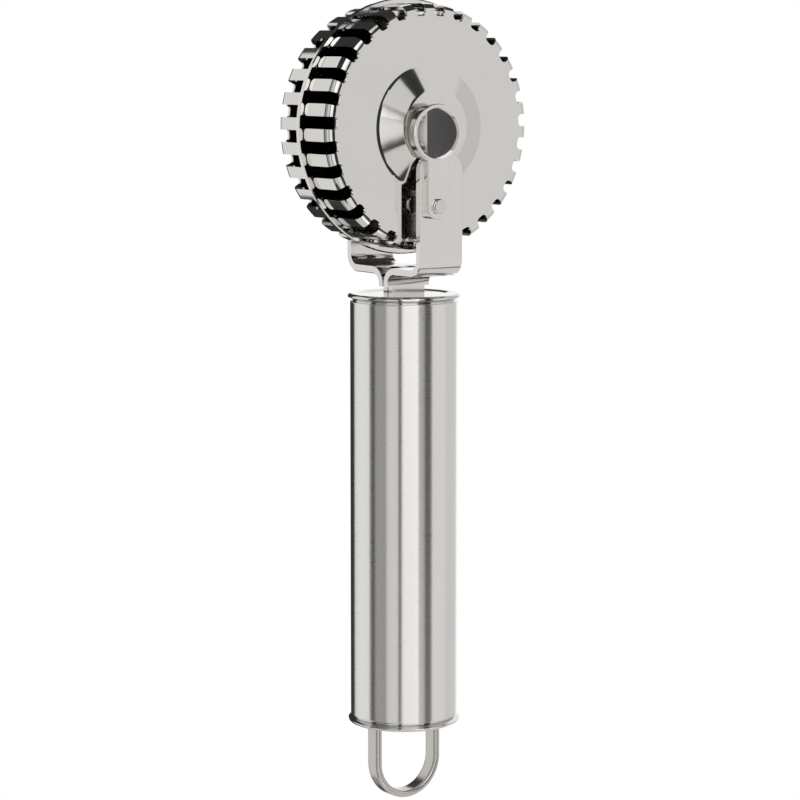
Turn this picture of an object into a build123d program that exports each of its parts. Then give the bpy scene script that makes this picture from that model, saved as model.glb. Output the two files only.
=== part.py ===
"""Pastry cutter wheel: toothed crimping wheel in a steel fork on a tubular handle.

Millimetres, +Z from the hanging loop toward the wheel, wheel axis along Y.
The origin is on the handle's centre line, where a hook bears inside the hanging loop.
"""

import math
import os

from build123d import *

# Hanging loop
loop_drop = 17.8
loop_width = 4.1
loop_thickness = 1.6
loop_outer_radius = 8.8
loop_stem = 3.0
loop_round = 0.75
loop_weld_height = 1.4

# Overall heights
handle_length = 97.5
axle_above_cap = 36.9
cap_bottom_z = loop_drop - loop_thickness
cap_top_z = cap_bottom_z + handle_length
axle_z = cap_top_z + axle_above_cap

# Wheel
disc_radius = 28.2
disc_thickness = 1.1
disc_bevel = 0.25
cup_radius = 27.0
cup_sheet = 0.9
cup_bend = 2.0
cup_face_y = 9.9
cup_gap_to_disc = 0.25
boss_foot_radius = 13.9
boss_top_radius = 8.2
boss_height = 2.1
boss_foot_round = 2.2
boss_top_round = 1.2
hub_hole_radius = 3.6
bore_radius = 3.46
spacer_radius = 6.0
tooth_count = 31
slot_width = 2.75
slot_root_radius = 24.3
slot_root_round = 0.9
tooth_end_round = 1.1
front_tooth_turn = 8.9
rear_tooth_turn = 3.7

# Fork
arm_width = 11.4
arm_sheet = 1.6
arm_outer_y = 14.3
arm_top_z = axle_z - 5.0
arm_top_round = 4.4
leg_under_z = axle_z - 32.6
bend_inner_radius = 2.3
tang_gap = 0.3
tang_neck_width = 8.7
tang_shoulder_z = cap_top_z + 1.6
tang_depth = 9.0
arm_edge_round = 0.3

# Pivot tongue, set a little to one side of the arm
tongue_x = -2.25
tongue_width = 5.8
tongue_sheet = 1.8
tongue_head_radius = 6.4
tongue_head_z = axle_z - 1.05
tongue_round = 0.25
post_radius = 5.95
dimple_radius = 5.55
dimple_edge_depth = 0.7
dimple_valley_depth = 3.0
dimple_valley_round = 0.5
dimple_valley_x = tongue_x - 0.9
post_floor = 0.65
post_gap = 0.15
pin_radius = 3.4
pin_end_y = 7.0
rivet_z = axle_z - 16.85
rivet_head_radius = 1.7
rivet_shank_radius = 1.1
rivet_head_height = 0.75
rivet_tail_radius = 1.9
rivet_tail_height = 0.4

# Handle
tube_radius = 12.05
tube_wall = 1.0
tube_edge_round = 0.35
rim_radius = 12.6
rim_height = 1.7
rim_round = 0.8
rim_groove = 0.3
cap_plate = 1.2
cap_crown = 0.35
skirt_length = 5.0
skirt_wall = 1.0
fork_weld_height = 1.8


def revolve_about_y(points, centre_z):
    """Turn a profile of (radius, y) points about the wheel's axis."""
    outline = Polyline(*[(radius, y, 0) for radius, y in points], close=True)
    solid = revolve(make_face(outline), Axis.Y, 360)
    return Pos(0, 0, centre_z) * solid


def y_cylinder(radius, y_from, y_to, x, z):
    """A cylinder along Y between two y values."""
    length = y_to - y_from
    return Pos(x, (y_from + y_to) / 2, z) * Rot(90, 0, 0) * Cylinder(radius, length)


def cutting_disc():
    """Thin plain disc that stands proud between the two toothed cups."""
    half = disc_thickness / 2
    profile = [
        (bore_radius, -half),
        (disc_radius - disc_bevel, -half),
        (disc_radius, -half + disc_bevel),
        (disc_radius, half - disc_bevel),
        (disc_radius - disc_bevel, half),
        (bore_radius, half),
    ]
    return revolve_about_y(profile, axle_z)


def cup_profile():
    """Half section of the stamped cup on the front side, as one closed face."""
    face = -cup_face_y
    top = face - boss_height
    rim = -(disc_thickness / 2 + cup_gap_to_disc)
    slope = math.atan2(boss_height, boss_foot_radius - boss_top_radius)
    wall_shift = cup_sheet * math.tan(slope / 2)
    outline = [
        (hub_hole_radius, top),
        (boss_top_radius, top),
        (boss_foot_radius, face),
        (cup_radius, face),
        (cup_radius, rim),
        (cup_radius - cup_sheet, rim),
        (cup_radius - cup_sheet, face + cup_sheet),
        (boss_foot_radius - wall_shift, face + cup_sheet),
        (boss_top_radius - wall_shift, top + cup_sheet),
        (hub_hole_radius, top + cup_sheet),
    ]
    rounds = {
        (cup_radius, face): cup_bend,
        (cup_radius - cup_sheet, face + cup_sheet): cup_bend - cup_sheet,
        (boss_foot_radius, face): boss_foot_round,
        (boss_foot_radius - wall_shift, face + cup_sheet): boss_foot_round + cup_sheet,
        (boss_top_radius, top): boss_top_round + cup_sheet,
        (boss_top_radius - wall_shift, top + cup_sheet): boss_top_round,
    }
    with BuildSketch() as section:
        with BuildLine():
            Polyline(*outline, close=True)
        make_face()
        for corner, radius in rounds.items():
            near = section.vertices().sort_by_distance((*corner, 0))[0]
            fillet(near, radius)
    return section.sketch


def toothed_cup(turn):
    """Stamped cup whose rim is slit into teeth that run round the bend to free ends."""
    shell = revolve(cup_profile(), Axis.Y, 360)
    rim = -(disc_thickness / 2 + cup_gap_to_disc)
    reach = cup_radius - slot_root_radius + 2
    length = cup_face_y + 2
    slot = Box(reach, length, slot_width)
    root = slot.edges().filter_by(Axis.Y).filter_by(lambda e: e.center().X < 0)
    slot = fillet(root, slot_root_round)
    slot = Pos(slot_root_radius + reach / 2, rim + 1 - length / 2, 0) * slot
    slots = [Rot(0, turn + i * 360 / tooth_count, 0) * slot for i in range(tooth_count)]
    shell = shell - slots
    ends = shell.edges().filter_by(lambda e: is_tooth_corner(e, rim))
    shell = fillet(ends, tooth_end_round)
    return shell


def is_tooth_corner(edge, rim):
    """True for the short radial edges at the corners of a tooth's free end."""
    centre = edge.center()
    radius = math.hypot(centre.X, centre.Z)
    short = edge.length < 1.2 * cup_sheet
    return short and abs(centre.Y - rim) < 1e-3 and radius > cup_radius - cup_sheet


def front_cup():
    """Front toothed cup in place."""
    return Pos(0, 0, axle_z) * toothed_cup(front_tooth_turn)


def rear_cup():
    """Rear toothed cup: the same stamping turned over, its teeth a part pitch on."""
    return Pos(0, 0, axle_z) * (Rot(0, 0, 180) * toothed_cup(rear_tooth_turn))


def spacer(side):
    """Tube between the disc and a cup's hub, which also carries the bore."""
    near = disc_thickness / 2
    far = cup_face_y + boss_height - cup_sheet
    profile = [
        (bore_radius, side * near),
        (spacer_radius, side * near),
        (spacer_radius, side * far),
        (bore_radius, side * far),
    ]
    return revolve_about_y(profile, axle_z)


def arm():
    """Front fork arm: Z-bent strip from the pivot tongue down to its tang."""
    outer = -arm_outer_y
    inner = outer + arm_sheet
    under = leg_under_z
    over = under + arm_sheet
    tang_in = -tang_gap / 2
    tang_out = tang_in - arm_sheet
    tang_low = cap_top_z - tang_depth
    big = bend_inner_radius + arm_sheet
    small = bend_inner_radius
    with BuildSketch(Plane.YZ) as side:
        with BuildLine():
            Line((outer, arm_top_z), (outer, under + big))
            RadiusArc((outer, under + big), (outer + big, under), -big)
            Line((outer + big, under), (tang_out - small, under))
            RadiusArc((tang_out - small, under), (tang_out, under - small), small)
            Line((tang_out, under - small), (tang_out, tang_low))
            Line((tang_out, tang_low), (tang_in, tang_low))
            Line((tang_in, tang_low), (tang_in, over - big))
            RadiusArc((tang_in, over - big), (tang_in - big, over), -big)
            Line((tang_in - big, over), (inner + small, over))
            RadiusArc((inner + small, over), (inner, over + small), small)
            Line((inner, over + small), (inner, arm_top_z))
            Line((inner, arm_top_z), (outer, arm_top_z))
        make_face()
    strip = extrude(side.sketch, arm_width / 2, both=True)
    notch_height = tang_shoulder_z - tang_low + 1
    notch_z = tang_shoulder_z - notch_height / 2
    notch_x = tang_neck_width / 2 + 2
    notches = [Pos(s * notch_x, 0, notch_z) * Box(4, 8, notch_height) for s in (-1, 1)]
    strip = strip - notches
    corner = strip.edges().filter_by(Axis.Y).filter_by(lambda e: e.center().Z > arm_top_z - 0.01)
    strip = fillet(corner, arm_top_round)
    rims = strip.edges().filter_by(is_outer_rim)
    strip = chamfer(rims, arm_edge_round * 0.6)
    strip = strip - y_cylinder(post_radius + post_gap, outer - 1, inner + 1, tongue_x, tongue_head_z)
    return strip - y_cylinder(rivet_shank_radius, outer - 1, inner + 1, tongue_x, rivet_z)


def is_outer_rim(edge):
    """True for the long vertical edges of the upright part's outer face."""
    centre = edge.center()
    upright = edge.length > 12 and abs(centre.Y + arm_outer_y) < 0.05
    return upright and abs(abs(centre.X) - arm_width / 2) < 0.05


def dimple_section(edge_depth, valley_depth):
    """Prism with a V floor that runs up Z, open toward the outer side."""
    face = -(arm_outer_y + tongue_sheet)
    left = tongue_x - post_radius
    right = tongue_x + post_radius
    outline = Polyline(
        (left, face - 1, 0),
        (right, face - 1, 0),
        (right, face + edge_depth, 0),
        (dimple_valley_x, face + valley_depth, 0),
        (left, face + edge_depth, 0),
        close=True,
    )
    prism = extrude(make_face(outline), 4 * post_radius, dir=(0, 0, 1))
    valley = prism.edges().filter_by(Axis.Z)
    valley = valley.filter_by(lambda e: abs(e.center().X - dimple_valley_x) < 0.01)
    prism = fillet(valley, dimple_valley_round)
    return Pos(0, 0, tongue_head_z - 2 * post_radius) * prism


def tongue():
    """Front tongue: riveted strip whose round head is pressed in and carries the wheel's pin."""
    face = -(arm_outer_y + tongue_sheet)
    back = -arm_outer_y
    post_back = face + dimple_valley_depth + post_floor
    height = tongue_head_z - rivet_z
    strip = Box(tongue_width, tongue_sheet, height)
    strip = Pos(tongue_x, (face + back) / 2, rivet_z + height / 2) * strip
    foot = y_cylinder(tongue_width / 2, face, back, tongue_x, rivet_z)
    head = y_cylinder(tongue_head_radius, face, back, tongue_x, tongue_head_z)
    plate = strip + foot + head
    neck_reach = tongue_head_radius + 0.5
    neck = plate.edges().filter_by(Axis.Y)
    neck = neck.filter_by(lambda e: abs(e.center().Z - tongue_head_z) < neck_reach)
    plate = fillet(neck, 0.9)
    front = plate.faces().sort_by(Axis.Y)[0]
    plate = fillet(front.edges(), tongue_round)
    post = y_cylinder(post_radius, face + tongue_round, post_back, tongue_x, tongue_head_z)
    pad = dimple_section(dimple_edge_depth + post_floor, dimple_valley_depth + post_floor)
    hollow = y_cylinder(dimple_radius, face - 1, post_back, tongue_x, tongue_head_z)
    scoop = dimple_section(dimple_edge_depth, dimple_valley_depth)
    pin = y_cylinder(pin_radius, face + dimple_edge_depth, -pin_end_y, 0, axle_z)
    pin = chamfer(pin.faces().sort_by(Axis.Y)[-1].edges(), 0.3)
    body = plate + (post & pad) + (pin & post_keeper(post_back)) - (hollow & scoop)
    return body - y_cylinder(rivet_shank_radius, face - 1, back + 1, tongue_x, rivet_z)


def post_keeper(post_back):
    """Room that the pin may fill: inside the post, and everything beyond its back."""
    inside = y_cylinder(post_radius, -arm_outer_y - tongue_sheet, post_back, tongue_x, tongue_head_z)
    beyond = y_cylinder(post_radius, post_back, 0, 0, axle_z)
    return inside + beyond


def tongue_rivet():
    """Front rivet through tongue and arm, domed head outside, flat tail inside."""
    face = -(arm_outer_y + tongue_sheet)
    inner = -arm_outer_y + arm_sheet
    shank = y_cylinder(rivet_shank_radius, face, inner, tongue_x, rivet_z)
    head = y_cylinder(rivet_head_radius, face - rivet_head_height, face, tongue_x, rivet_z)
    head = fillet(head.faces().sort_by(Axis.Y)[0].edges(), 0.45)
    tail = y_cylinder(rivet_tail_radius, inner, inner + rivet_tail_height, tongue_x, rivet_z)
    tail = fillet(tail.faces().sort_by(Axis.Y)[-1].edges(), 0.2)
    return shank + head + tail


def to_rear(shape):
    """The rear copy of a front piece, mirrored across the wheel's mid plane."""
    return mirror(shape, about=Plane.XZ)


def handle_tube():
    """Straight round tube between the two caps, its outer edges rounded over."""
    low = cap_bottom_z + rim_height
    high = cap_top_z - rim_height
    outer = Cylinder(tube_radius, high - low)
    outer = fillet(outer.edges(), tube_edge_round)
    return Pos(0, 0, (low + high) / 2) * (outer - Cylinder(tube_radius - tube_wall, high - low))


def cap_blank():
    """Cap without openings, rim upward, its outer face's edge at z = 0."""
    skirt_out = tube_radius - tube_wall
    skirt_in = skirt_out - skirt_wall
    low = -rim_height
    neck = skirt_out + 0.45
    with BuildSketch(Plane.XZ) as section:
        with BuildLine():
            Line((0, cap_crown - 0.3), (rim_radius - 3, -0.3))
            Line((rim_radius - 3, -0.3), (rim_radius - 2.2, 0))
            Line((rim_radius - 2.2, 0), (rim_radius - rim_round, 0))
            RadiusArc((rim_radius - rim_round, 0), (rim_radius, -rim_round), rim_round)
            Line((rim_radius, -rim_round), (neck, low + rim_groove))
            Line((neck, low + rim_groove), (neck, low))
            Line((neck, low), (skirt_out, low))
            Line((skirt_out, low), (skirt_out, low - skirt_length))
            Line((skirt_out, low - skirt_length), (skirt_in, low - skirt_length))
            Line((skirt_in, low - skirt_length), (skirt_in, -cap_plate - 0.3))
            Line((skirt_in, -cap_plate - 0.3), (0, -cap_plate - 0.3))
            Line((0, -cap_plate - 0.3), (0, cap_crown - 0.3))
        make_face()
    return revolve(section.sketch, Axis.Z, 360)


def top_cap():
    """Top cap with the slot that takes both fork tangs."""
    slot_depth = 2 * arm_sheet + tang_gap
    slot = Box(tang_neck_width, slot_depth, 6)
    return Pos(0, 0, cap_top_z) * (cap_blank() - slot)


def bottom_cap():
    """Bottom cap with the two openings for the hanging loop's legs."""
    blank = Pos(0, 0, cap_bottom_z) * Rot(180, 0, 0) * cap_blank()
    return blank - loop_bar(loop_stem + 4)


def loop_bar(stem):
    """The hanging loop: flat bar with rounded edges bent into a U in the wheel's plane."""
    middle = loop_outer_radius - loop_thickness / 2
    bend_z = loop_outer_radius - loop_thickness
    top = cap_bottom_z + stem
    with BuildLine() as path:
        Line((-middle, 0, top), (-middle, 0, bend_z))
        ThreePointArc((-middle, 0, bend_z), (0, 0, bend_z - middle), (middle, 0, bend_z))
        Line((middle, 0, bend_z), (middle, 0, top))
    start = Plane(origin=(-middle, 0, top), x_dir=(1, 0, 0), z_dir=(0, 0, -1))
    with BuildSketch(start) as section:
        RectangleRounded(loop_thickness, loop_width, loop_round)
    return sweep(section.sketch, path=path.line)


def loop_weld(side):
    """Weld bead that holds one end of the loop inside the bottom cap."""
    middle = side * (loop_outer_radius - loop_thickness / 2)
    base = cap_bottom_z + cap_plate + 0.3
    bead = Pos(middle, 0, base + loop_weld_height / 2) * Box(
        loop_thickness + 2, loop_width + 2, loop_weld_height
    )
    bead = fillet(bead.edges().filter_by(Axis.Z), 1.2)
    bead = chamfer(bead.faces().sort_by(Axis.Z)[-1].edges(), 0.6)
    return bead - loop_bar(loop_stem)


def fork_weld():
    """Weld bead along the front tang under the top cap."""
    top = cap_top_z - cap_plate - 0.3
    tang_out = -(tang_gap / 2 + arm_sheet)
    with BuildSketch(Plane.YZ) as section:
        with BuildLine():
            Polyline(
                (tang_out, top),
                (tang_out - fork_weld_height, top),
                (tang_out, top - fork_weld_height),
                close=True,
            )
        make_face()
    return extrude(section.sketch, tang_neck_width / 2, both=True)


os.makedirs("parts", exist_ok=True)
front_arm = arm()
front_tongue = tongue()
front_rivet = tongue_rivet()
front_weld = fork_weld()
pieces = {
    "cutting_disc": cutting_disc(),
    "front_toothed_cup": front_cup(),
    "rear_toothed_cup": rear_cup(),
    "front_hub_spacer": spacer(-1),
    "rear_hub_spacer": spacer(1),
    "front_fork_arm": front_arm,
    "rear_fork_arm": to_rear(front_arm),
    "front_pivot_tongue": front_tongue,
    "rear_pivot_tongue": to_rear(front_tongue),
    "front_tongue_rivet": front_rivet,
    "rear_tongue_rivet": to_rear(front_rivet),
    "front_fork_weld": front_weld,
    "rear_fork_weld": to_rear(front_weld),
    "handle_tube": handle_tube(),
    "top_cap": top_cap(),
    "bottom_cap": bottom_cap(),
    "hanging_loop": loop_bar(loop_stem),
    "left_loop_weld": loop_weld(-1),
    "right_loop_weld": loop_weld(1),
}
for name, shape in pieces.items():
    export_step(shape, f"parts/{name}.step")
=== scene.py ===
"""Looks for the pastry cutter wheel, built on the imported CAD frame. Metres."""

import math

import bmesh
import bpy
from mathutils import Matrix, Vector


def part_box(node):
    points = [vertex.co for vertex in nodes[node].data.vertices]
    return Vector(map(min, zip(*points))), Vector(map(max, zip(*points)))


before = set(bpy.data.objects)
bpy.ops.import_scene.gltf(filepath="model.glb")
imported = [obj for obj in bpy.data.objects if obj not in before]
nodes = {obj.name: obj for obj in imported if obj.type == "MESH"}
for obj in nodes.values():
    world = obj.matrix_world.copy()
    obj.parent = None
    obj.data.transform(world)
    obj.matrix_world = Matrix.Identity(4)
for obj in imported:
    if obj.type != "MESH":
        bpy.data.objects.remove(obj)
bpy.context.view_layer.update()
scene = bpy.context.scene

# The cups' sheet and the rise of their hub, and how far into the sheet the painted shade on the cups'
# inner side begins.
cup_sheet = 0.0009
hub_rise = 0.0021
inside_share = 0.75


# ---------------------------------------------------------------- materials
def link(tree, a, a_out, b, b_in):
    tree.links.new(a.outputs[a_out], b.inputs[b_in])


def maths(tree, operation, a, b):
    """A Math node; a and b are sockets or numbers."""
    node = tree.nodes.new("ShaderNodeMath")
    node.operation = operation
    for slot, value in enumerate((a, b)):
        if isinstance(value, (int, float)):
            node.inputs[slot].default_value = value
        else:
            tree.links.new(value, node.inputs[slot])
    return node.outputs[0]


def cup_painted_shade(tree, coords):
    """Painted shade mask: 1 on the inner side of a toothed cup, whose colour is painted near-black
    for the shade inside the cup, 0 on its polished outer side.
    """
    low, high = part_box("front_toothed_cup")
    axle_x = (low[0] + high[0]) / 2
    axle_z = (low[2] + high[2]) / 2
    rim_inside = (high[0] - low[0]) / 2 - inside_share * cup_sheet
    face_inside = -low[1] - hub_rise - inside_share * cup_sheet
    split = tree.nodes.new("ShaderNodeSeparateXYZ")
    link(tree, coords, "Object", split, "Vector")
    across = maths(tree, "SUBTRACT", split.outputs["X"], axle_x)
    up = maths(tree, "SUBTRACT", split.outputs["Z"], axle_z)
    across_square = maths(tree, "MULTIPLY", across, across)
    up_square = maths(tree, "MULTIPLY", up, up)
    square = maths(tree, "ADD", across_square, up_square)
    radius = maths(tree, "SQRT", square, 0.0)
    depth = maths(tree, "ABSOLUTE", split.outputs["Y"], 0.0)
    within_rim = maths(tree, "LESS_THAN", radius, rim_inside)
    within_face = maths(tree, "LESS_THAN", depth, face_inside)
    return maths(tree, "MULTIPLY", within_rim, within_face)


def steel(name, color, roughness, spread, grain, grain_depth, anisotropy=0.0, blotch=0.03,
          painted_shade_mask=None):
    """Stainless steel with a directional grain and uneven roughness.

    grain is the scale of the noise along X, Y and Z: a high number runs the lines across that axis.
    """
    mat = bpy.data.materials.new(name)
    mat.use_nodes = True
    tree = mat.node_tree
    tree.nodes.clear()
    out = tree.nodes.new("ShaderNodeOutputMaterial")
    bsdf = tree.nodes.new("ShaderNodeBsdfPrincipled")
    link(tree, bsdf, "BSDF", out, "Surface")
    bsdf.inputs["Metallic"].default_value = 1.0
    coords = tree.nodes.new("ShaderNodeTexCoord")
    stretch = tree.nodes.new("ShaderNodeMapping")
    stretch.inputs["Scale"].default_value = grain
    link(tree, coords, "Object", stretch, "Vector")
    lines = tree.nodes.new("ShaderNodeTexNoise")
    lines.inputs["Scale"].default_value = 1.0
    lines.inputs["Detail"].default_value = 4.0
    lines.inputs["Roughness"].default_value = 0.6
    link(tree, stretch, "Vector", lines, "Vector")
    cloud = tree.nodes.new("ShaderNodeTexNoise")
    cloud.inputs["Scale"].default_value = 90.0
    cloud.inputs["Detail"].default_value = 3.0
    link(tree, coords, "Object", cloud, "Vector")

    rough = tree.nodes.new("ShaderNodeMapRange")
    rough.inputs["To Min"].default_value = max(0.02, roughness - spread)
    rough.inputs["To Max"].default_value = roughness + spread
    mixed = tree.nodes.new("ShaderNodeMath")
    mixed.operation = "MULTIPLY_ADD"
    mixed.inputs[1].default_value = 0.6
    half = tree.nodes.new("ShaderNodeMath")
    half.operation = "MULTIPLY"
    half.inputs[1].default_value = 0.4
    link(tree, cloud, "Fac", half, 0)
    link(tree, lines, "Fac", mixed, 0)
    link(tree, half, 0, mixed, 2)
    link(tree, mixed, 0, rough, "Value")
    link(tree, rough, "Result", bsdf, "Roughness")

    tint = tree.nodes.new("ShaderNodeMapRange")
    tint.inputs["To Min"].default_value = 1.0 - blotch
    tint.inputs["To Max"].default_value = 1.0 + blotch
    link(tree, mixed, 0, tint, "Value")
    base = tree.nodes.new("ShaderNodeVectorMath")
    base.operation = "SCALE"
    base.inputs[0].default_value = color
    link(tree, tint, "Result", base, "Scale")
    # Painted shade: where the mask is 1, the base colour is swapped for near-black to stand in for
    # the shade inside the cups.
    if painted_shade_mask:
        shade = tree.nodes.new("ShaderNodeMix")
        shade.data_type = "RGBA"
        shade.inputs["B"].default_value = (0.05, 0.045, 0.042, 1.0)
        link(tree, base, "Vector", shade, "A")
        tree.links.new(painted_shade_mask(tree, coords), shade.inputs["Factor"])
        link(tree, shade, "Result", bsdf, "Base Color")
    else:
        link(tree, base, "Vector", bsdf, "Base Color")

    bump = tree.nodes.new("ShaderNodeBump")
    bump.inputs["Strength"].default_value = 1.0
    bump.inputs["Distance"].default_value = grain_depth
    link(tree, lines, "Fac", bump, "Height")
    link(tree, bump, "Normal", bsdf, "Normal")

    if anisotropy:
        bsdf.inputs["Anisotropic"].default_value = anisotropy
        bsdf.inputs["Anisotropic Rotation"].default_value = 0.25
        tangent = tree.nodes.new("ShaderNodeTangent")
        tangent.direction_type = "RADIAL"
        tangent.axis = "Z"
        link(tree, tangent, "Tangent", bsdf, "Tangent")
    return mat


tube_steel = steel("brushed_tube", (0.86, 0.84, 0.81), 0.28, 0.04, (60, 60, 9000), 2e-6, 1.0)
# The cups get painted shade on their inner side through the cup mask.
face_steel = steel("polished_cup", (0.755, 0.735, 0.70), 0.085, 0.02, (500, 500, 5200), 1.6e-7,
                   painted_shade_mask=cup_painted_shade)
edge_steel = steel("mirror_disc", (0.80, 0.785, 0.77), 0.10, 0.03, (900, 900, 900), 2e-7)
arm_steel = steel("satin_arm", (0.775, 0.745, 0.725), 0.13, 0.03, (300, 300, 4200), 3e-7)
rim_steel = steel("polished_rim", (0.70, 0.69, 0.665), 0.08, 0.02, (300, 300, 2500), 3e-7)
loop_steel = steel("satin_loop", (0.60, 0.575, 0.545), 0.26, 0.05, (2500, 2500, 900), 8e-7)
hidden_steel = steel("plain_steel", (0.30, 0.29, 0.28), 0.4, 0.05, (800, 800, 800), 1e-6)

looks = {
    "cutting_disc": edge_steel,
    "front_toothed_cup": face_steel,
    "rear_toothed_cup": face_steel,
    "front_hub_spacer": hidden_steel,
    "rear_hub_spacer": hidden_steel,
    "front_fork_arm": arm_steel,
    "rear_fork_arm": arm_steel,
    "front_pivot_tongue": arm_steel,
    "rear_pivot_tongue": arm_steel,
    "front_tongue_rivet": rim_steel,
    "rear_tongue_rivet": rim_steel,
    "front_fork_weld": hidden_steel,
    "rear_fork_weld": hidden_steel,
    "handle_tube": tube_steel,
    "top_cap": rim_steel,
    "bottom_cap": rim_steel,
    "hanging_loop": loop_steel,
    "left_loop_weld": hidden_steel,
    "right_loop_weld": hidden_steel,
}
for name, mat in looks.items():
    node = nodes[name]
    node.data.materials.clear()
    node.data.materials.append(mat)


# ---------------------------------------------------------------- camera
yaw = math.radians(-35.0)
pitch = math.radians(7.37)
eye_distance = 0.620
eye_height = 0.1697
eye_left = 0.0009
back = Vector((math.sin(yaw), -math.cos(yaw), 0.0))
right = Vector((math.cos(yaw), math.sin(yaw), 0.0))
view = -back * math.cos(pitch) - Vector((0, 0, math.sin(pitch)))
camera = bpy.data.cameras.new("camera")
camera.sensor_width = 36.0
camera.lens = 125.4
camera_object = bpy.data.objects.new("camera", camera)
camera_object.location = back * eye_distance - right * eye_left + Vector((0, 0, eye_height))
camera_object.rotation_euler = view.to_track_quat("-Z", "Y").to_euler()
scene.collection.objects.link(camera_object)
scene.camera = camera_object


# ---------------------------------------------------------------- studio
def direction(azimuth, elevation):
    """Unit vector from the object; azimuth is measured from the camera, to its right."""
    a = yaw + math.radians(azimuth)
    e = math.radians(elevation)
    return Vector((math.sin(a) * math.cos(e), -math.cos(a) * math.cos(e), math.sin(e)))


def soft_box(name, azimuths, elevations, radiance, distance=0.9, centre_z=0.1):
    """Flat soft box that fills a range of azimuths and of elevations, in degrees."""
    toward = direction(sum(azimuths) / 2, sum(elevations) / 2)
    half_width = math.radians((azimuths[1] - azimuths[0]) / 2)
    half_height = math.radians((elevations[1] - elevations[0]) / 2)
    data = bpy.data.lights.new(name, "AREA")
    data.shape = "RECTANGLE"
    data.size = 2 * distance * math.tan(half_width)
    data.size_y = 2 * distance * math.tan(half_height)
    data.energy = radiance * math.pi * data.size * data.size_y
    box = bpy.data.objects.new(name, data)
    box.location = toward * distance + Vector((0, 0, centre_z))
    box.rotation_euler = toward.to_track_quat("Z", "Y").to_euler()
    box.visible_camera = False
    scene.collection.objects.link(box)


soft_box("right_wall", (62, 100), (-42, 42), 0.74)
soft_box("right_wall_far", (100, 150), (-42, 42), 0.62)
soft_box("right_low", (62, 150), (-86, -46), 0.70, distance=0.7)
soft_box("rear_wall", (150, 186), (-42, 42), 1.00)
soft_box("left_wall", (-133, -79), (-42, 42), 0.80)
soft_box("left_low", (-133, -79), (-86, -46), 0.60, distance=0.7)
soft_box("front_right_high", (-4, 31), (9, 50), 1.32)
soft_box("front_right_low", (-4, 31), (-50, -14), 0.84)
soft_box("front_right_middle", (-4, 30), (-14, 9), 0.97)
soft_box("front_left_wide", (-39, -12), (-40, 42), 0.72)
soft_box("front_left_dim", (-66, -40), (-40, 42), 0.32)
soft_box("dark_gap_top", (32, 46), (12, 60), 0.70)
soft_box("dark_gap_low", (32, 46), (-60, -14), 0.70)

world = bpy.data.worlds.new("world")
world.use_nodes = True
world.node_tree.nodes["Background"].inputs["Color"].default_value = (0.93, 0.95, 1.0, 1.0)
world.node_tree.nodes["Background"].inputs["Strength"].default_value = 0.04
scene.world = world


def glow(name, color, strength):
    """Shadeless material for the stage."""
    mat = bpy.data.materials.new(name)
    mat.use_nodes = True
    mat.node_tree.nodes.clear()
    shine = mat.node_tree.nodes.new("ShaderNodeEmission")
    shine.inputs["Color"].default_value = color
    shine.inputs["Strength"].default_value = strength
    end = mat.node_tree.nodes.new("ShaderNodeOutputMaterial")
    link(mat.node_tree, shine, "Emission", end, "Surface")
    return mat


def backdrop():
    """Plain white sweep all round, seen by the camera only."""
    bm = bmesh.new()
    bmesh.ops.create_icosphere(bm, subdivisions=3, radius=3.0)
    mesh = bpy.data.meshes.new("backdrop")
    bm.to_mesh(mesh)
    bm.free()
    mesh.materials.append(glow("backdrop_white", (1.0, 1.0, 1.0, 1.0), 1.0))
    sweep = bpy.data.objects.new("backdrop", mesh)
    sweep.visible_diffuse = False
    sweep.visible_glossy = False
    sweep.visible_transmission = False
    sweep.visible_shadow = False
    scene.collection.objects.link(sweep)


def floor():
    """Pale floor well below the object, which lights its undersides."""
    half = 0.25
    level = -0.25
    mesh = bpy.data.meshes.new("floor")
    corners = [(-half, -half, level), (half, -half, level), (half, half, level), (-half, half, level)]
    mesh.from_pydata(corners, [], [(0, 1, 2, 3)])
    mesh.materials.append(glow("floor_pale", (1.0, 0.99, 0.97, 1.0), 0.7))
    sheet = bpy.data.objects.new("floor", mesh)
    sheet.visible_camera = False
    scene.collection.objects.link(sheet)


backdrop()
floor()
scene.view_settings.view_transform = "Standard"
scene.view_settings.look = "None"
